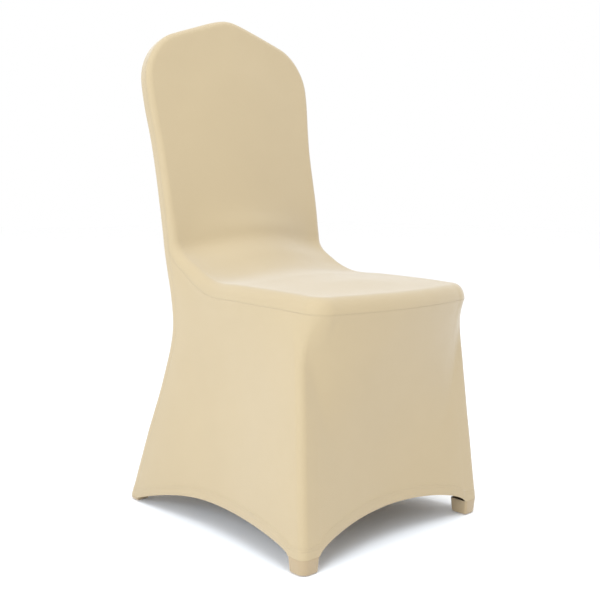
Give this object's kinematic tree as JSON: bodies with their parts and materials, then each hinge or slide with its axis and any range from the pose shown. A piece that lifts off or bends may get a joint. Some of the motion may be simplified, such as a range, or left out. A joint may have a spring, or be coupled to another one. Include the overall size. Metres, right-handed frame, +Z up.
{
  "type": "stretch chair cover",
  "caption": "Stretch knit slip for a banquet chair with a pointed crown back: a fitted sleeve over the backrest, a padded seat top, a flared skirt with arched hems and foot pockets.",
  "frame": {"origin": "on the floor, under the middle of the cover's box", "axes": "+Z up, the chair faces -Y, +X is to the right of someone who looks along +Y at its front"},
  "size_m": [0.4586, 0.542, 0.948],
  "materials": {
    "front_panel": "matt stretch knit with a soft sheen",
    "back_panel": "matt stretch knit with a soft sheen",
    "skirt": "matt stretch knit with a soft sheen",
    "foot_pocket_front_left": "matt stretch knit with a soft sheen",
    "foot_pocket_front_right": "matt stretch knit with a soft sheen",
    "foot_pocket_rear_left": "matt stretch knit with a soft sheen",
    "foot_pocket_rear_right": "matt stretch knit with a soft sheen"
  },
  "bodies": {
    "root": {"front_panel": "front_panel", "back_panel": "back_panel", "skirt": "skirt", "foot_pocket_front_left": "foot_pocket_front_left", "foot_pocket_front_right": "foot_pocket_front_right", "foot_pocket_rear_left": "foot_pocket_rear_left", "foot_pocket_rear_right": "foot_pocket_rear_right"}
  },
  "joints": []
}
